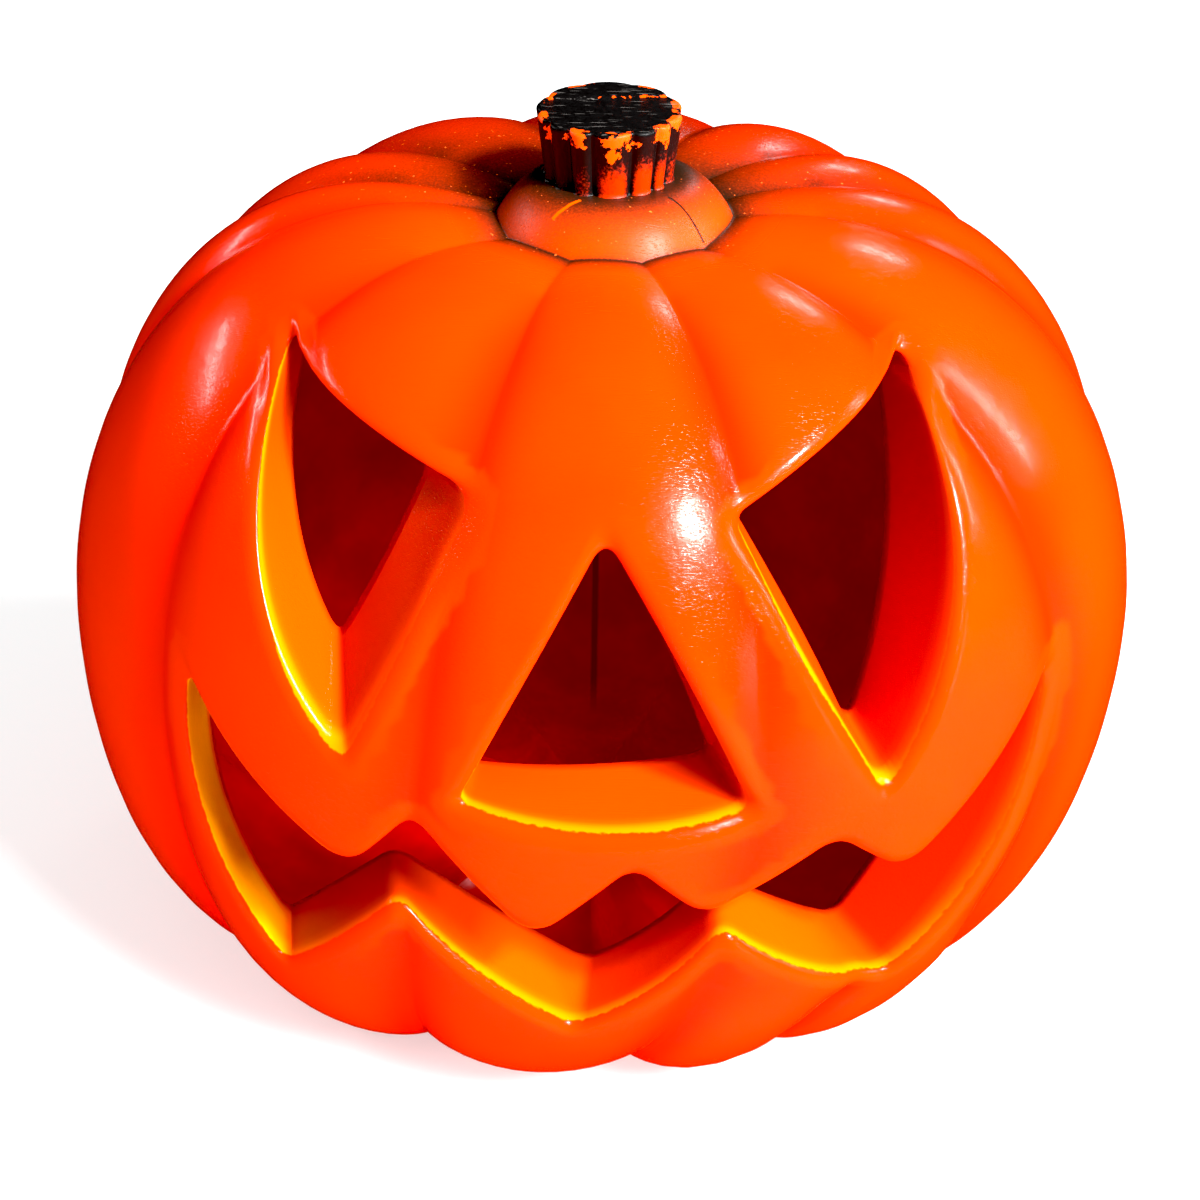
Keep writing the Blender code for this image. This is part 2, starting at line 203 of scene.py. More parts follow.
def grooveShare(phi, place, radius):
    # 0 on the crest of a lobe, 1 at the bottom of a groove at full depth
    index = np.floor(place).astype(int)
    share = place - index
    shape = lobeShape(share)
    split = smooth((shell["splitTop"] - np.cos(phi)) / (shell["splitTop"] - shell["splitFull"]))
    split = np.where(index % len(grooves) == shell["splitLobe"], split, 0)
    shape = shape * (1 - split) + lobeShape(np.mod(share * 2, 1)) * split
    fade = shell["shoulderShare"] + (1 - shell["shoulderShare"]) * smooth(
        (radius - collar["radius"]) / shell["shoulderFade"])
    deeper = 1 + shell["footDeepening"] * smooth((-np.cos(phi) - 0.2) / 0.7)
    fade = np.where(np.cos(phi) > 0, fade, smooth(radius / shell["footFade"]) * deeper)
    return (1 - np.minimum(shape, 1)) * fade


def body(phi, place, inset=0.0):
    radius, height = crest(phi)
    outward, upward = crestNormal(phi)
    depth = inset + shell["grooveDepth"] * grooveShare(phi, place, radius)
    radius = radius - depth * outward
    height = height - depth * upward
    cosine = np.cos(phi)
    turn = azimuth(place, cosine)
    lean = shell["lowerLean"] * np.minimum(cosine, 0) ** 2
    return np.stack([radius * np.sin(turn) + lean, -radius * np.cos(turn),
                     np.maximum(height, restLevel + inset)], -1)


profileAngles = np.linspace(1e-4, math.pi - 1e-4, 3000)
profileRadius, profileHeight = crest(profileAngles)
profileLength = np.concatenate([[0], np.cumsum(np.hypot(np.diff(profileRadius), np.diff(profileHeight)))])
restLevel = profileHeight.min() + shell["restFlat"]
shoulderAngle = profileAngles[np.argmax(profileHeight)] + shell["poleAngle"]
footAngle = profileAngles[np.argmin(profileHeight)] - shell["poleAngle"]


def findOnBody(x, z, inset=0.0):
    # place and profile angle of the front of the body at x, z
    low, high = (np.full_like(x, float(lobe)) for lobe in shell["frontLobes"])
    for _ in range(30):
        place = (low + high) / 2
        top, foot = np.full_like(x, shoulderAngle), np.full_like(x, footAngle)
        for _ in range(26):
            phi = (top + foot) / 2
            above = body(phi, place, inset)[:, 2] > z
            top, foot = np.where(above, phi, top), np.where(above, foot, phi)
        left = body(phi, place, inset)[:, 0] < x
        low, high = np.where(left, place, low), np.where(left, high, place)
    return place, phi


def mouldFront(x, z):
    # y of the smooth body without its grooves
    top, foot = np.full_like(z, shoulderAngle), np.full_like(z, footAngle)
    for _ in range(30):
        phi = (top + foot) / 2
        above = crest(phi)[1] > z
        top, foot = np.where(above, phi, top), np.where(above, foot, phi)
    return -np.sqrt(np.maximum(crest(phi)[0] ** 2 - x ** 2, 0))


def outline(corners, grow, back=False):
    # the outline with its sides moved out by grow, always with the same number of points
    count = len(corners)
    fronts = [np.array(corner[0], float) for corner in corners]
    places = [np.array(corner[3], float) for corner in corners] if back else fronts
    bulges = [corner[4] if back else corner[2] for corner in corners]
    normals = []
    for index in range(count):
        chord = places[(index + 1) % count] - places[index]
        length = np.linalg.norm(chord)
        chord = chord / length
        outside = np.array([chord[1], -chord[0]])
        lean = 4 * bulges[index] / length
        normals.append([(outside - lean * chord) / math.hypot(1, lean),
                        (outside + lean * chord) / math.hypot(1, lean)])
    moved = []
    for index in range(count):
        before, after = normals[index - 1][1], normals[index][0]
        moved.append(places[index] + grow * (before + after) / (1 + before @ after))

    def side(index, share):
        start, end = moved[index], moved[(index + 1) % count]
        chord = end - start
        outside = np.array([chord[1], -chord[0]]) / np.linalg.norm(chord)
        slip = (places[index] + places[(index + 1) % count] - start - end) @ outside / 2
        bulge = bulges[index] + grow + slip
        return start + share * chord + 4 * bulge * share * (1 - share) * outside

    points = []
    for index in range(count):
        cut = corners[index][1]
        lengthBefore = np.linalg.norm(fronts[index] - fronts[index - 1])
        length = np.linalg.norm(fronts[(index + 1) % count] - fronts[index])
        start, middle, end = side(index - 1, 1 - cut / lengthBefore), moved[index], side(index, cut / length)
        for step in range(carving["cornerSteps"] + 1):
            share = step / carving["cornerSteps"]
            points.append((1 - share) ** 2 * start + 2 * share * (1 - share) * middle + share ** 2 * end)
        cutNext = corners[(index + 1) % count][1]
        steps = max(1, round((length - cut - cutNext) / carving["sideStep"]))
        for step in range(1, steps):
            share = (cut + (length - cut - cutNext) * step / steps) / length
            points.append(side(index, share))
    return np.array(points)


def openingRings(corners, depth):
    # loops from the outer skin, round the rim, through the pocket wall to the inner skin,
    # each with how far it is round the rim and how deep in the pocket
    wall = shell["wall"]
    edge = outline(corners, 0)
    place, phi = findOnBody(edge[:, 0], edge[:, 1])
    edgePoints = body(phi, place)
    outerPlace = findOnBody(*outline(corners, carving["rimRound"]).T)
    outer = body(outerPlace[1], outerPlace[0])
    floor = mouldFront(edge[:, 0], edge[:, 1]) + depth
    end = outline(corners, 0, True)
    endPoints = np.stack([end[:, 0], floor, end[:, 1]], -1)
    along = np.roll(end, -1, 0) - np.roll(end, 1, 0)
    back = end + carving["rimWall"] * np.stack([along[:, 1], -along[:, 0]], -1) / np.hypot(*along.T)[:, None]
    backPoints = np.stack([back[:, 0], floor, back[:, 1]], -1)
    wallWay = endPoints - edgePoints
    wallWay = wallWay / np.linalg.norm(wallWay, axis=1)[:, None]
    inside = edgePoints + carving["rimRound"] * wallWay
    rings, marks = [outer], [(0.0, 0.0)]
    for step in range(1, carving["rimSteps"]):
        share = step / carving["rimSteps"]
        weights = ((1 - share) ** 2, 1.4 * share * (1 - share), share ** 2)
        blend = weights[0] * outer + weights[1] * edgePoints + weights[2] * inside
        rings.append(blend / sum(weights))
        marks.append((share, 0.0))
    for step in range(carving["wallSteps"] + 1):
        share = step / carving["wallSteps"]
        rings.append(inside * (1 - share) + endPoints * share)
        marks.append((1.0, share))
    innerPlace = findOnBody(*outline(corners, wall).T, wall)
    inner = body(innerPlace[1], innerPlace[0], wall)
    rings.append((endPoints + backPoints) / 2)
    rings.append(backPoints)
    rings.append((backPoints + inner) / 2)
    rings.append(inner)
    marks += [(1.0, 1.0), (1.0, 1.0), (1.0, 1.0), (1.0, 1.0)]
    return rings, marks, outerPlace, innerPlace


def rowAngles(count, first, last):
    start, stop = np.interp([first, last], profileAngles, profileLength)
    return np.interp(np.linspace(start, stop, count), profileLength, profileAngles)


def insideLoop(loop, point):
    following = np.roll(loop, -1, 0)
    crosses = (loop[:, 1] > point[1]) != (following[:, 1] > point[1])
    rise = np.where(following[:, 1] == loop[:, 1], 1, following[:, 1] - loop[:, 1])
    at = loop[:, 0] + (point[1] - loop[:, 1]) / rise * (following[:, 0] - loop[:, 0])
    return bool(np.sum(crosses & (point[0] < at)) % 2)


def loopDistance(loop, point):
    following = np.roll(loop, -1, 0)
    way = following - loop
    share = np.clip(((point - loop) * way).sum(1) / (way ** 2).sum(1), 0, 1)
    return np.linalg.norm(point - loop - way * share[:, None], axis=1).min()


def flat(place, phi):
    # the skin unrolled: place and profile angle as lengths in the plane
    scale = 2 * math.pi * shell["radius"] / len(grooves)
    return np.stack([place * scale, np.interp(phi, profileAngles, profileLength)], -1)


def onFront(angle):
    return shell["frontAngles"][0] <= angle < shell["frontAngles"][1]


class Skin:
    # the vertices, faces and vertex marks that one piece is gathered in
    def __init__(self, *marks):
        self.points = []
        self.faces = []
        self.slots = []
        self.marks = {mark: [] for mark in marks}

    def add(self, points, **marks):
        first = len(self.points)
        self.points += [tuple(point) for point in points]
        for mark, values in self.marks.items():
            values += list(np.broadcast_to(marks.get(mark, 0.0), len(points)))
        return list(range(first, len(self.points)))

    def face(self, corners, slot=0):
        self.faces.append(tuple(corners))
        self.slots.append(slot)

    def bridge(self, one, other, slot=0, crossed=False):
        for index in range(len(one)):
            after = (index + 1) % len(one)
            if crossed:
                self.face((one[index], one[after], other[index]), slot)
                self.face((one[after], other[after], other[index]), slot)
            else:
                self.face((one[index], one[after], other[after], other[index]), slot)

    def cap(self, loop, slot=0):
        middle = np.mean([self.points[index] for index in loop], 0)
        centre = self.add([middle], **{mark: values[loop[0]] for mark, values in self.marks.items()})[0]
        for index in range(len(loop)):
            self.face((loop[index], loop[(index + 1) % len(loop)], centre), slot)

    def build(self, name, materials):
        mesh = bpy.data.meshes.new(name)
        points = (np.array(self.points) * scaleToFrame + shiftToFrame) * millimetre
        mesh.from_pydata([tuple(point) for point in points], [], self.faces)
        for mark, values in self.marks.items():
            layer = mesh.attributes.new(mark, "FLOAT", "POINT")
            layer.data.foreach_set("value", np.array(values, np.float32))
        for material in materials:
            mesh.materials.append(material)
        mesh.polygons.foreach_set("material_index", self.slots)
        mesh.polygons.foreach_set("use_smooth", [True] * len(self.faces))
        work = bmesh.new()
        work.from_mesh(mesh)
        bmesh.ops.delete(work, geom=[v for v in work.verts if not v.link_faces], context="VERTS")
        bmesh.ops.recalc_face_normals(work, faces=work.faces)
        work.to_mesh(mesh)
        work.free()
        piece = bpy.data.objects.new(name, mesh)
        bpy.context.scene.collection.objects.link(piece)
        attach(piece, "root")
        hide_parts("lantern_shell")
        return piece


def addSkin(skin, places, angles, inset, loops, slot):
    # the grid of one skin, with the loops of the openings worked into its front
    collarEdge = body(collarMeeting(places), places)
    grid = []
    for phi in angles:
        radius = crest(np.array(phi))[0]
        valley = grooveShare(np.full(len(places), phi), places, radius)
        points = body(np.full(len(places), phi), places, inset)
        fromEdge = np.linalg.norm(points - collarEdge, axis=1)
        grid.append(skin.add(points, valley=valley, soot=sootAndCreaseShadeAt(points, valley, fromEdge, False),
                             brushed=np.exp(-fromEdge / shell["brushedReach"])))
    left, right = (int(np.searchsorted(places, lobe)) for lobe in shell["frontLobes"])
    for row in range(len(angles) - 1):
        for column in range(len(places)):
            if left <= column < right and onFront(angles[row]):
                continue
            after = (column + 1) % len(places)
            skin.face((grid[row][column], grid[row + 1][column], grid[row + 1][after], grid[row][after]), slot)
    rows = [row for row in range(len(angles) - 1) if onFront(angles[row])]
    rows.append(rows[-1] + 1)
    flatLoops = [flat(*place) for place, _ in loops]
    spots, names, border = [], [], []
    for row in rows:
        for column in range(left, right + 1):
            spot = flat(places[column], angles[row])
            onBorder = row in (rows[0], rows[-1]) or column in (left, right)
            clear = all(not insideLoop(loop, spot) and loopDistance(loop, spot) > shell["gridSpacing"]
                        for loop in flatLoops)
            if onBorder or clear:
                spots.append(spot)
                names.append(grid[row][column])
    for loop, (_, ring) in zip(flatLoops, loops):
        first = len(spots)
        spots += list(loop)
        names += ring
        border += [(first + index, first + (index + 1) % len(loop)) for index in range(len(loop))]
    for face in delaunay_2d_cdt([Vector(spot) for spot in spots], border, [], 0, 1e-5)[2]:
        middle = sum(spots[corner] for corner in face) / 3
        if not any(insideLoop(loop, middle) for loop in flatLoops):
            skin.face([names[corner] for corner in face], slot)
    return grid


def collarHeight(radius):
    share = np.clip((radius - stem["footRadius"]) / (collar["radius"] - stem["footRadius"]), 0, 2)
    return stem["footHeight"] - collar["rise"] * share ** 2.2


def collarMeeting(place):
    # profile angle where the body comes out from under the collar
    low, high = np.full_like(place, 0.01), np.full_like(place, shoulderAngle)
    for _ in range(30):
        phi = (low + high) / 2
        spot = body(phi, place)
        reach = np.hypot(spot[:, 0] - collar["place"][0], spot[:, 1] - collar["place"][1])
        under = spot[:, 2] < collarHeight(reach)
        low, high = np.where(under, phi, low), np.where(under, high, phi)
    return phi


def stemRing(places, radius, height, ribDepth):
    hollows = np.radians(stem["hollows"] + (stem["hollows"][0] + 360,))
    turn = np.interp(places, np.arange(len(hollows)), hollows)
    reach = radius - ribDepth * (1 - lobeShape(places % 1))
    return np.stack([stem["place"] + reach * np.sin(turn), -reach * np.cos(turn),
                     np.broadcast_to(height, len(places))], -1)


def sootAndCreaseShadeAt(points, valley, fromEdge, onCollar):
    # how dense the black overspray is: a ring round the stem, a dark line along the collar's edge that is painted shade
    # in the crease there, the starts of the grooves, and a thin cloud over the back of the shoulder
    reach = np.hypot(points[:, 0] - stem["place"], points[:, 1])
    behind = smooth((points[:, 1] + soot["behindFrom"]) / soot["behindFade"])
    # painted shade in the crease along the collar's edge
    creaseShade = soot["edge"] * np.exp(-fromEdge / soot["creaseShadeWidth"])
    skirt = soot["skirt"] * np.exp(-fromEdge / soot["skirtWidth"])
    if onCollar:
        foot = soot["ring"] * np.exp(-np.maximum(reach - stem["footRadius"] - 1, 0) / soot["ringFade"])
        return foot * (1 + behind) + creaseShade * (1 + behind)
    starts = np.exp(-fromEdge / (soot["grooveReach"] * (1 + behind))) * smooth(valley * 2.2) * soot["grooves"]
    side = 1 + 0.4 * smooth(-points[:, 0] / 30)
    cloud = np.exp(-fromEdge / soot["cloudReach"]) * behind * soot["cloud"] * side
    return (creaseShade + skirt + starts * (0.3 + 0.7 * behind) + cloud) * (points[:, 2] > 40)


def wavy(points):
    # the slight unevenness of a blown skin, along the way out from the middle
    result = []
    for point in points:
        ripple = noise.noise(Vector(point) / shell["wavinessSpan"])
        result.append(tuple(np.array(point) * (1 + shell["waviness"] * ripple / shell["radius"])))
    return result


def wallMarks(edge, depth, share):
    # painted light and shade on a pocket wall: how far it goes from the deep red painted shade to the lit yellow by the
    # way it faces, and how much painted light lies near its rim and in the mouth's left end
    along = np.roll(edge, -1, 0) - np.roll(edge, 1, 0)
    outside = np.stack([along[:, 1], -along[:, 0]], -1) / np.hypot(*along.T)[:, None]
    # painted light: walls that face up to the right get the lit yellow, the others the deep red painted shade
    facing = -outside[:, 0] * wallPaintedLight["right"] - outside[:, 1] * wallPaintedLight["up"]
    paintedLitShare = share * smooth((facing + 0.1) / 0.9)
    nearRim = 1 - smooth(depth / wallPaintedLight["band"])
    # painted light in the mouth's left end, where the lamps barely reach
    armPaintedLight = smooth((wallPaintedLight["armFrom"] - edge[:, 0]) / wallPaintedLight["armFade"]) * (edge[:, 1] < 22) * smooth(facing * 3)
    # painted light: a bright band near each rim; values above 1 give the brighter painted light of the mouth's left end
    paintedGlow = np.maximum(nearRim * (0.1 + 0.8 * smooth(facing + 0.3)), 2 * armPaintedLight * (1 - smooth((depth - 0.7) / 0.3)))
    # painted shade: walls on the right of the face are kept darker
    paintedLitShare = paintedLitShare * (1 - 0.6 * smooth((edge[:, 0] - wallPaintedLight["paintedShadeFrom"]) / wallPaintedLight["paintedShadeFade"]))
    return {"paintedLitShare": np.maximum(paintedLitShare, nearRim * (0.45 + 0.55 * smooth(facing + 0.4))), "paintedGlow": paintedGlow}


def shellSkin():
    skin = Skin("rim", "paintedLitShare", "paintedGlow", "valley", "soot", "brushed")
    places = np.array([lobe + share for lobe in range(len(grooves)) for share in shell["columns"]])
    placesInside = np.array([lobe + share for lobe in range(len(grooves)) for share in shell["columnsInside"]])
    outerLoops, innerLoops = [], []
    # the last number of each scales the painted light on that opening's cut walls
    openings = ((leftEye, carving["eyeDepth"], 0.9), (rightEye, carving["eyeDepth"], 0.9),
                (nose, carving["mouthDepth"], 0.6), (mouth, carving["mouthDepth"], 0.95))
    for corners, pocketDepth, yellow in openings:
        rings, marks, outerPlace, innerPlace = openingRings(corners, pocketDepth)
        loops = []
        for ring, (rim, depth) in zip(rings, marks):
            edge = outline(corners, 0)
            wear = sum(np.exp(-np.hypot(edge[:, 0] - x, edge[:, 1] - z) / reach) for x, z, reach in wornCorners)
            loops.append(skin.add(ring, rim=rim * (1 + wornGrowth * wear), **wallMarks(edge, depth, yellow)))
        for index, (one, other) in enumerate(zip(loops, loops[1:])):
            skin.bridge(one, other, 0 if index < len(loops) - 4 else 1, index >= len(loops) - 4)
        outerLoops.append((outerPlace, loops[0]))
        innerLoops.append((innerPlace, loops[-1]))

    angles = rowAngles(shell["rows"], shoulderAngle, math.pi - shell["poleAngle"])
    grid = addSkin(skin, places, angles, 0, outerLoops, 0)
    skin.cap(grid[-1])

    # from the shoulder inwards: the meeting with the collar and the collar itself
    meetingAngles = collarMeeting(places)
    meeting = body(meetingAngles, places)
    foot = stemRing(places, stem["footRadius"] - stem["ribDepth"], stem["footHeight"], 0)
    valley = grooveShare(meetingAngles, places, np.hypot(meeting[:, 0], meeting[:, 1]))
    rings = []
    for share in (0.2, 0.4, 0.6, 0.8, 0.92, 0.97, 1.0):
        rings.append((body(angles[0] * (1 - share) + meetingAngles * share, places), False))
    for share in collar["rings"]:
        ring = meeting * (1 - share) + foot * share
        reach = np.hypot(ring[:, 0] - collar["place"][0], ring[:, 1] - collar["place"][1])
        ring[:, 2] = collarHeight(reach)
        rings.append((ring, True))
    last = grid[0]
    for ring, onCollar in rings:
        fromEdge = np.linalg.norm(ring - meeting, axis=1)
        loop = skin.add(ring, soot=sootAndCreaseShadeAt(ring, valley, fromEdge, onCollar), valley=valley * (not onCollar),
                        brushed=1.0 if onCollar else np.exp(-fromEdge / shell["brushedReach"]))
        skin.bridge(last, loop)
        last = loop
    skin.cap(last)

    innerAngles = rowAngles(shell["rowsInside"], shell["poleAngle"], math.pi - shell["poleAngle"])
    innerGrid = addSkin(skin, placesInside, innerAngles, shell["wall"], innerLoops, 1)
    skin.cap(innerGrid[0], 1)
    skin.cap(innerGrid[-1], 1)
    skin.points = wavy(skin.points)
    return skin


def stemSkin():
    skin = Skin("topSide", "chip", "bareFront")
    places = np.arange(0, len(stem["hollows"]), 1 / stem["columnsPerRib"])
    foot, top = stem["footHeight"] - stem["sunk"], stem["topHeight"]
    edge = stem["edge"]
    rings = []
    for step in range(stem["rows"]):
        share = step / (stem["rows"] - 1)
        height = foot + (top - edge - foot) * share
        flare = stem["fillet"] * max(0, 1 - max(0, height - stem["footHeight"] + 0.6) / stem["fillet"]) ** 2
        radius = stem["footRadius"] * (1 - share) + stem["topRadius"] * share + flare
        rings.append((radius, height, stem["ribDepth"], 0.0))
    for step in range(1, 6):
        turn = math.pi / 2 * step / 5
        rings.append((stem["topRadius"] - edge * (1 - math.cos(turn)), top - edge * (1 - math.sin(turn)),
                      stem["ribDepth"] * (1 - 0.4 * step / 5), step / 5))
    for share in (0.88, 0.84, 0.8, 0.75, 0.7, 0.65, 0.6, 0.55, 0.5, 0.45, 0.4, 0.35, 0.3, 0.25, 0.2, 0.15, 0.1, 0.05):
        rings.append((stem["topRadius"] * share, top, stem["ribDepth"] * share * 0.4, 1.0))
    lineStart, lineEnd = np.array(stem["stepFrom"]), np.array(stem["stepTo"])
    way = (lineEnd - lineStart) / np.linalg.norm(lineEnd - lineStart)
    across = np.array([-way[1], way[0]])
    loops = []
    for radius, height, ribDepth, onTop in rings:
        points = stemRing(places, radius, height, ribDepth)
        behind = (points[:, :2] - lineStart) @ across
        points[:, 2] -= stem["stepHeight"] * onTop * (1 - smooth(behind / 0.8 + 0.5))
        turn = np.degrees(np.arctan2(points[:, 0] - stem["place"], -points[:, 1]))
        level = (height - foot) / (top - foot)
        chip = np.zeros(len(points))
        for direction, middle, width, tall in stem["chips"]:
            off = np.hypot(((turn - direction + 180) % 360 - 180) / width, (level - middle) / tall)
            chip = np.maximum(chip, 1.2 - 0.75 * off)
        chip = np.where(onTop < 0.99, chip, chip * (radius > stem["topRadius"] * 0.86))
        chip = np.maximum(chip, onTop * (0.85 - np.abs(behind) / 0.7))
        front = np.exp(-((turn - stem["frontTurn"]) / stem["frontSpan"]) ** 2)
        onRib = smooth(lobeShape(places % 1) * 1.4 - 0.3)
        bareFront = (1 - smooth((level - 0.2) / 0.6)) * (0.1 + 0.9 * front) * onRib
        loops.append(skin.add(points, topSide=onTop, chip=chip, bareFront=bareFront))
    for one, other in zip(loops, loops[1:]):
        skin.bridge(one, other)
    skin.cap(loops[0])
    skin.cap(loops[-1])
    return skin


def fitToFrame(skin):
    # the scale and shift that lay the made shell exactly in the box of the CAD shell
    points = np.array(skin.points)
    low, high = points.min(0), points.max(0)
    high[2] = stem["topHeight"]
    cadSize = (np.array(cadHigh) - np.array(cadLow)) / millimetre
    scale = min(cadSize / (high - low))
    middle = np.array([(cadLow[0] + cadHigh[0]) / 2, (cadLow[1] + cadHigh[1]) / 2, cadLow[2]]) / millimetre
    return scale, middle - scale * np.array([(low[0] + high[0]) / 2, (low[1] + high[1]) / 2, low[2]])


# ---- materials ----

def add(tree, kind, settings=None, links=None, **properties):
    # one node with its properties, its socket values and what is linked to it
    node = tree.nodes.new(kind)
    for name, value in properties.items():
        setattr(node, name, value)
    for name, value in (settings or {}).items():
        node.inputs[name].default_value = value
    for name, source in (links or {}).items():
        tree.links.new(source, node.inputs[name])
    return node


def startMaterial(name):
    material = bpy.data.materials.new(name)
    material.use_nodes = True
    tree = material.node_tree
    tree.nodes.clear()
    return material, tree


def mark(tree, name):
    return add(tree, "ShaderNodeAttribute", attribute_name=name).outputs["Fac"]


def blend(tree, factor, one, other, mode="MIX"):
    node = add(tree, "ShaderNodeMix", data_type="RGBA", blend_type=mode)
    for socket, value in ((node.inputs["Factor"], factor), (node.inputs[6], one), (node.inputs[7], other)):
        if isinstance(value, bpy.types.NodeSocket):
            tree.links.new(value, socket)
        else:
            socket.default_value = value
    return node.outputs[2]


def figure(tree, operation, *values):
    # a math node; a value is a number or another node's socket
    node = add(tree, "ShaderNodeMath", operation=operation)
    for socket, value in zip(node.inputs, values):
        if isinstance(value, bpy.types.NodeSocket):
            tree.links.new(value, socket)
        else:
            socket.default_value = value
    return node.outputs[0]


def ramp(tree, value, start, end, low=0.0, high=1.0):
    return add(tree, "ShaderNodeMapRange", {"From Min": start, "From Max": end, "To Min": low, "To Max": high},
               {"Value": value}, interpolation_type="SMOOTHSTEP").outputs[0]


def speckle(tree, place, size, detail=2.0, roughness=0.5):
    # noise whose blots are about size millimetres across
    return add(tree, "ShaderNodeTexNoise", {"Scale": 1 / (size * millimetre), "Detail": detail, "Roughness": roughness},
               {"Vector": place}).outputs["Fac"]


def scratches(tree, place, turn, length, width):
    # fine parallel rubbing marks of that length and width in mm, lying in the direction turn
    lie = add(tree, "ShaderNodeMapping", {"Rotation": turn, "Scale": (1 / length, 1 / width, 1 / width)},
              {"Vector": place}).outputs[0]
    return add(tree, "ShaderNodeTexNoise", {"Scale": 1 / millimetre, "Detail": 1.0}, {"Vector": lie}).outputs["Fac"]


def lineMark(tree, place, start, end, width):
    # 1 along a line seen from above, with a slightly wandering edge
    way = Vector(end) - Vector(start)
    length = way.length * millimetre
    way.normalize()
    wander = add(tree, "ShaderNodeVectorMath", operation="SCALE",
                 links={0: add(tree, "ShaderNodeTexNoise", {"Scale": 500.0}, {"Vector": place}).outputs["Color"]})
    wander.inputs["Scale"].default_value = 0.6 * millimetre
    shifted = add(tree, "ShaderNodeVectorMath", {1: (start[0] * millimetre + 0.0003, start[1] * millimetre + 0.0003, 0)},
                  {0: add(tree, "ShaderNodeVectorMath", links={0: place, 1: wander.outputs[0]}, operation="ADD").outputs[0]},
                  operation="SUBTRACT").outputs[0]
    along = add(tree, "ShaderNodeVectorMath", {1: (way.x, way.y, 0)}, {0: shifted}, operation="DOT_PRODUCT").outputs["Value"]
    across = add(tree, "ShaderNodeVectorMath", {1: (-way.y, way.x, 0)}, {0: shifted}, operation="DOT_PRODUCT").outputs["Value"]
    near = ramp(tree, figure(tree, "ABSOLUTE", across), width * millimetre / 2, width * millimetre, 1.0, 0.0)
    inRange = figure(tree, "MULTIPLY", figure(tree, "GREATER_THAN", along, 0.0), figure(tree, "LESS_THAN", along, length))
    upper = figure(tree, "GREATER_THAN", add(tree, "ShaderNodeSeparateXYZ", links={0: place}).outputs["Z"], 0.15)
    return figure(tree, "MULTIPLY", figure(tree, "MULTIPLY", near, inRange), upper)


skinPaintLook = {
    # the groove colour is painted shade in the grooves and also tints random blotches; the deep bare colour is painted
    # shade on cut walls facing away from the light and the bare colour their lit yellow; the two bright colours after
    # it are painted light near the rims and in the mouth's left end
    "crest": "#DE2900", "groove": "#D61900", "soot": "#20140C", "bare": "#E43F00", "bareInPaintedShade": "#A01900", "paintedGlow": "#FA6800",
    "armPaintedLight": "#FF9C00",
    "collar": "#E04400", "collarShare": 0.7,
    "speck": "#FF6C2A", "roughness": 0.17, "rubbedRoughness": 0.25, "brushedRoughness": 0.2, "cloudSize": 45.0, "scratchLength": 9.0,
    "scratchWidth": 0.35, "scratchHeight": 0.02, "speckSize": 0.7, "level": 0.18, "fresh": "#F04800",
    # on the collar, seen from above: start, end and width in mm
    "crackLine": ((12.9, -12.7), (20.6, -18.2), 0.3), "scratchLine": ((-11.4, -18.4), (-5.4, -15.2), 0.5),
}


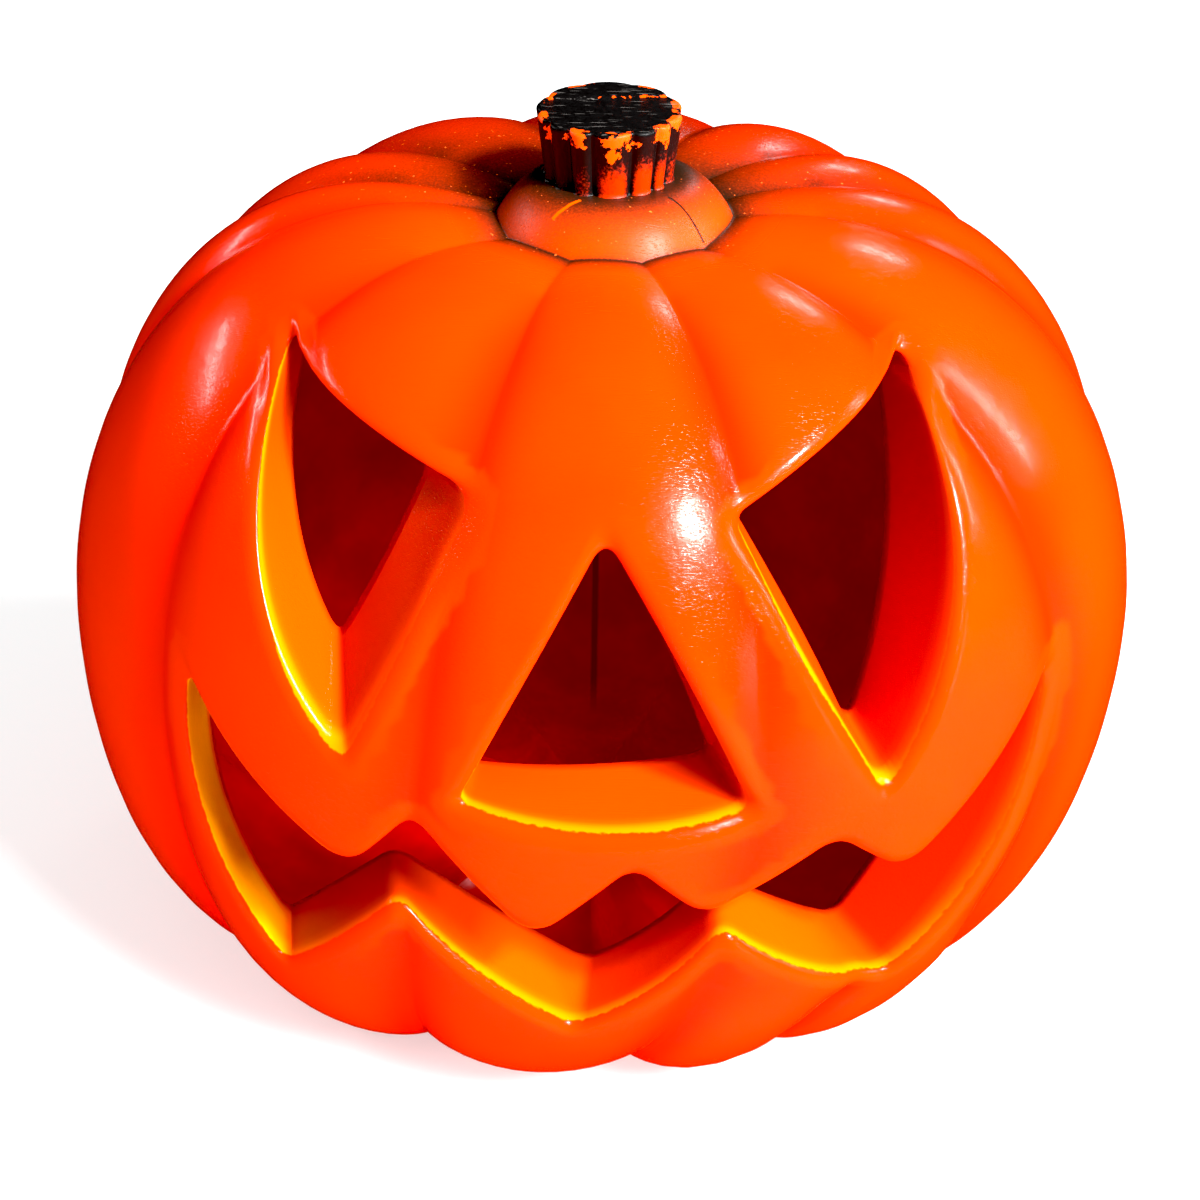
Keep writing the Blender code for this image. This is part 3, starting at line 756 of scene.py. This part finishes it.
def sprayedPolyethylene():
    # blow-moulded polyethylene under a thin orange spray: glossy and soft-edged in its reflections, dulled by fine
    # rubbing marks, darker in the grooves as painted shade, and bare yellow-orange plastic in the cut walls, which
    # carry painted light and shade by the way they face
    look = skinPaintLook
    material, tree = startMaterial("sprayedPolyethylene")
    place = add(tree, "ShaderNodeTexCoord").outputs["Object"]
    cloud = speckle(tree, place, look["cloudSize"], 3.0)
    valley = ramp(tree, mark(tree, "valley"), 0.15, 0.8)
    # painted shade: darker and redder in the grooves
    colour = blend(tree, valley, linear(look["crest"]), linear(look["groove"]))
    colour = blend(tree, ramp(tree, cloud, 0.35, 0.7, 0.0, 0.35), colour, linear(look["groove"]))
    brushed = figure(tree, "MULTIPLY", mark(tree, "brushed"), look["collarShare"])
    colour = blend(tree, brushed, colour, linear(look["collar"]))

    ragged = figure(tree, "ADD", mark(tree, "rim"), ramp(tree, speckle(tree, place, 1.5, 4.0), 0.3, 0.7, -0.05, 0.05))
    bareShare = ramp(tree, ragged, 0.82, 0.95)
    # painted light and shade on the cut walls: deep red where they face away from the light, yellow where they face it
    bare = blend(tree, mark(tree, "paintedLitShare"), linear(look["bareInPaintedShade"]), linear(look["bare"]))
    # painted light near the rims, then brighter painted light in the mouth's left end
    bare = blend(tree, ramp(tree, mark(tree, "paintedGlow"), 0.0, 1.0), bare, linear(look["paintedGlow"]))
    bare = blend(tree, ramp(tree, mark(tree, "paintedGlow"), 1.0, 2.0), bare, linear(look["armPaintedLight"]))
    colour = blend(tree, bareShare, colour, bare)

    dust = speckle(tree, place, 0.5, 3.0, 0.7)
    # black overspray, with painted shade in the crease along the collar's edge
    density = figure(tree, "MULTIPLY", mark(tree, "soot"), ramp(tree, dust, 0.3, 0.7, -1.2, -2.0))
    sootAndCreaseShadeShare = figure(tree, "SUBTRACT", 1.0, figure(tree, "EXPONENT", density))
    colour = blend(tree, sootAndCreaseShadeShare, colour, linear(look["soot"]))
    specks = figure(tree, "MULTIPLY", ramp(tree, speckle(tree, place, look["speckSize"], 0.0), 0.8, 0.84),
                    ramp(tree, mark(tree, "soot"), 0.05, 0.5, 0.0, 0.6))
    colour = blend(tree, specks, colour, linear(look["speck"]))
    scratch = lineMark(tree, place, *look["scratchLine"])
    colour = blend(tree, scratch, colour, linear(look["fresh"]))
    crack = lineMark(tree, place, *look["crackLine"])
    colour = blend(tree, crack, colour, linear(look["soot"]))

    rub = scratches(tree, place, (0.3, 0.5, 0.9), look["scratchLength"], look["scratchWidth"])
    rubAcross = scratches(tree, place, (1.1, -0.4, -0.7), look["scratchLength"], look["scratchWidth"])
    rubbed = figure(tree, "MAXIMUM", ramp(tree, rub, 0.55, 0.75), ramp(tree, rubAcross, 0.58, 0.78))
    worn = figure(tree, "MULTIPLY", rubbed, ramp(tree, cloud, 0.4, 0.65))
    rough = ramp(tree, worn, 0.0, 1.0, look["roughness"], look["rubbedRoughness"])
    rough = figure(tree, "ADD", rough, figure(tree, "MULTIPLY", mark(tree, "brushed"), look["brushedRoughness"]))
    pores = speckle(tree, place, 2.5, 3.0)
    fine = figure(tree, "ADD", figure(tree, "MULTIPLY", pores, 0.05), figure(tree, "MULTIPLY", rubbed, -look["scratchHeight"]))
    height = figure(tree, "SUBTRACT", fine, figure(tree, "MULTIPLY", crack, 0.3))
    bump = add(tree, "ShaderNodeBump", {"Strength": 1.0, "Distance": millimetre}, {"Height": height}).outputs[0]
    shader = add(tree, "ShaderNodeBsdfPrincipled", {"IOR": 1.5, "Specular IOR Level": look["level"]},
                 {"Base Color": colour, "Roughness": rough, "Normal": bump})
    add(tree, "ShaderNodeOutputMaterial", links={"Surface": shader.outputs[0]})
    return material


insideLook = {"colour": "#B80A00", "dark": "#960500", "seeping": 0.07, "seepingColour": "#FF1000", "roughness": 0.36, "darkStripe": "#100000", "darkStripePlace": 0.002}


def insidePolyethylene():
    # the inner face of the moulding, bare and a little uneven: deep red where little light gets in
    look = insideLook
    material, tree = startMaterial("insidePolyethylene")
    place = add(tree, "ShaderNodeTexCoord").outputs["Object"]
    cloud = speckle(tree, place, 20.0, 3.0)
    colour = blend(tree, ramp(tree, cloud, 0.3, 0.7), linear(look["colour"]), linear(look["dark"]))
    parts = add(tree, "ShaderNodeSeparateXYZ", links={0: place}).outputs
    # a dark vertical line on the inner back wall, just left of the middle
    offDarkStripe = figure(tree, "ABSOLUTE", figure(tree, "ADD", parts["X"], look["darkStripePlace"]))
    darkStripe = figure(tree, "MULTIPLY", ramp(tree, offDarkStripe, 0.0005, 0.0012, 1.0, 0.0), ramp(tree, parts["Y"], 0.055, 0.075))
    darkStripe = figure(tree, "MULTIPLY", darkStripe, ramp(tree, parts["Z"], 0.03, 0.06, 1.0, 0.0))
    colour = blend(tree, darkStripe, colour, linear(look["darkStripe"]))
    dent = speckle(tree, place, 14.0, 2.0)
    bump = add(tree, "ShaderNodeBump", {"Strength": 1.0, "Distance": millimetre},
               {"Height": figure(tree, "MULTIPLY", dent, 1.2)}).outputs[0]
    # painted light: a faint emission standing in for the little light that seeps through the thin wall
    shader = add(tree, "ShaderNodeBsdfPrincipled",
                 {"Roughness": look["roughness"], "IOR": 1.5, "Specular IOR Level": 0.3,
                  "Emission Color": linear(look["seepingColour"]), "Emission Strength": look["seeping"]},
                 {"Base Color": colour, "Normal": bump})
    add(tree, "ShaderNodeOutputMaterial", links={"Surface": shader.outputs[0]})
    return material


stemLook = {"black": "#0A0909", "chip": "#F24200", "under": "#B02200", "roughness": 0.38, "scratch": "#8A8480"}


def chippedBlackSpray():
    # black spray over the orange moulding: thin and dusty low on the front, chipped to ragged
    # bright patches along the top edge, with pale scratches on the flat top
    look = stemLook
    material, tree = startMaterial("chippedBlackSpray")
    place = add(tree, "ShaderNodeTexCoord").outputs["Object"]
    dust = speckle(tree, place, 0.7, 4.0, 0.75)
    thin = figure(tree, "ADD", mark(tree, "bareFront"), ramp(tree, dust, 0.3, 0.7, -0.2, 0.2))
    colour = blend(tree, ramp(tree, thin, 0.2, 0.75), linear(look["black"]), linear(look["under"]))
    flake = speckle(tree, place, 2.2, 5.0, 0.6)
    chip = figure(tree, "ADD", mark(tree, "chip"), ramp(tree, flake, 0.25, 0.75, -0.55, 0.55))
    chipShare = ramp(tree, chip, 0.6, 0.64)
    colour = blend(tree, chipShare, colour, linear(look["chip"]))
    rub = scratches(tree, place, (0.0, 0.0, 0.5), 6.0, 0.25)
    pale = figure(tree, "MULTIPLY", ramp(tree, rub, 0.7, 0.74), mark(tree, "topSide"))
    colour = blend(tree, figure(tree, "MULTIPLY", pale, 0.5), colour, linear(look["scratch"]))
    rough = ramp(tree, dust, 0.3, 0.7, look["roughness"] - 0.08, look["roughness"] + 0.12)
    height = figure(tree, "ADD", figure(tree, "MULTIPLY", chipShare, -0.12), figure(tree, "MULTIPLY", dust, 0.04))
    bump = add(tree, "ShaderNodeBump", {"Strength": 1.0, "Distance": millimetre}, {"Height": height}).outputs[0]
    shader = add(tree, "ShaderNodeBsdfPrincipled", {"IOR": 1.5, "Specular IOR Level": 0.25},
                 {"Base Color": colour, "Roughness": rough, "Normal": bump})
    add(tree, "ShaderNodeOutputMaterial", links={"Surface": shader.outputs[0]})
    return material


made = shellSkin()
scaleToFrame, shiftToFrame = fitToFrame(made)
skinPaint, insidePlastic, stemPaint = sprayedPolyethylene(), insidePolyethylene(), chippedBlackSpray()
shellPiece = made.build("pumpkinShell", (skinPaint, insidePlastic))
stemPiece = stemSkin().build("stemStub", (stemPaint,))
print("shell", len(shellPiece.data.polygons), "faces; stem", len(stemPiece.data.polygons), "faces")
print("scale to the frame", scaleToFrame, "shift", shiftToFrame)


# ---- studio ----

studio = {
    "floorSize": 8.0, "floorColour": "#C8CCCC", "floorGlowColour": "#F6FAFA", "floorGlow": 0.56, "world": 0.55, "veil": 0.012, "middle": (0, 0, 0.1),
    # name: direction in degrees (0 in front, 90 at the right), elevation, distance, width, height,
    # watts, and whether it is seen in the gloss
    "softboxes": {
        "key": (48, 44, 1.3, 0.13, 0.13, 36, True),
        "keySoft": (43, 38, 1.4, 0.5, 0.5, 56, False),
        "rightStrip": (97, 28, 1.2, 0.05, 0.65, 6, True),
        "leftStrip": (-111, 28, 1.2, 0.5, 0.03, 3, True),
        "backTop": (158, 28, 1.3, 0.22, 0.08, 1.2, True),
        "frontFill": (58, 6, 1.3, 0.3, 0.3, 20, False),
    },
}


def makeFloor():
    mesh = bpy.data.meshes.new("studioFloor")
    half = studio["floorSize"] / 2
    corners = [(-half, -half), (half, -half), (half, half), (-half, half)]
    mesh.from_pydata([(x, y, cadLow[2]) for x, y in corners], [], [(0, 1, 2, 3)])
    material, tree = startMaterial("mattPaper")
    shader = add(tree, "ShaderNodeBsdfPrincipled", {"Base Color": linear(studio["floorColour"]), "Roughness": 1.0,
                                                    "Specular IOR Level": 0.0, "Emission Strength": studio["floorGlow"],
                                                    "Emission Color": linear(studio["floorGlowColour"])})
    add(tree, "ShaderNodeOutputMaterial", links={"Surface": shader.outputs[0]})
    mesh.materials.append(material)
    floor = bpy.data.objects.new("studioFloor", mesh)
    bpy.context.scene.collection.objects.link(floor)
    floor.visible_glossy = False


def makeSoftbox(name, direction, elevation, distance, width, height, power, glossy):
    light = bpy.data.lights.new(name, "AREA")
    light.shape = "RECTANGLE"
    light.size, light.size_y = width, height
    light.energy = power
    lamp = bpy.data.objects.new(name, light)
    bpy.context.scene.collection.objects.link(lamp)
    turn, rise = math.radians(direction), math.radians(elevation)
    way = Vector((math.sin(turn) * math.cos(rise), -math.cos(turn) * math.cos(rise), math.sin(rise)))
    lamp.location = Vector(studio["middle"]) + way * distance
    lamp.rotation_euler = way.to_track_quat("Z", "Y").to_euler()
    lamp.visible_glossy = glossy


def makeWorld():
    # an even white surround that lights the room but isn't mirrored in the gloss
    world = bpy.data.worlds.new("studio")
    bpy.context.scene.world = world
    world.use_nodes = True
    background = world.node_tree.nodes["Background"]
    background.inputs["Color"].default_value = (1, 1, 1, 1)
    background.inputs["Strength"].default_value = studio["world"]
    world.cycles_visibility.glossy = False


view = {"place": (0.95, -564.2, 410.3), "pitch": 59.76, "roll": -0.631, "yaw": 0.484,
        "lens": 84.41, "shift": (-0.0012, -0.0311)}


def makeCamera():
    data = bpy.data.cameras.new("camera")
    data.sensor_width = 36
    data.lens = view["lens"]
    data.shift_x, data.shift_y = view["shift"]
    data.clip_start = 0.01
    camera = bpy.data.objects.new("camera", data)
    bpy.context.scene.collection.objects.link(camera)
    camera.location = Vector(view["place"]) * millimetre
    camera.rotation_euler = [math.radians(view[turn]) for turn in ("pitch", "roll", "yaw")]
    bpy.context.scene.camera = camera


makeFloor()
for softbox, settings in studio["softboxes"].items():
    makeSoftbox(softbox, *settings)
makeWorld()
makeCamera()


def makeGrade():
    # plain display colours, with the faint veil that the lamps' glare lays over the gloss taken off
    look = bpy.context.scene.view_settings
    look.view_transform = "Standard"
    look.use_curve_mapping = True
    look.curve_mapping.black_level = (studio["veil"],) * 3
    look.curve_mapping.update()


makeGrade()
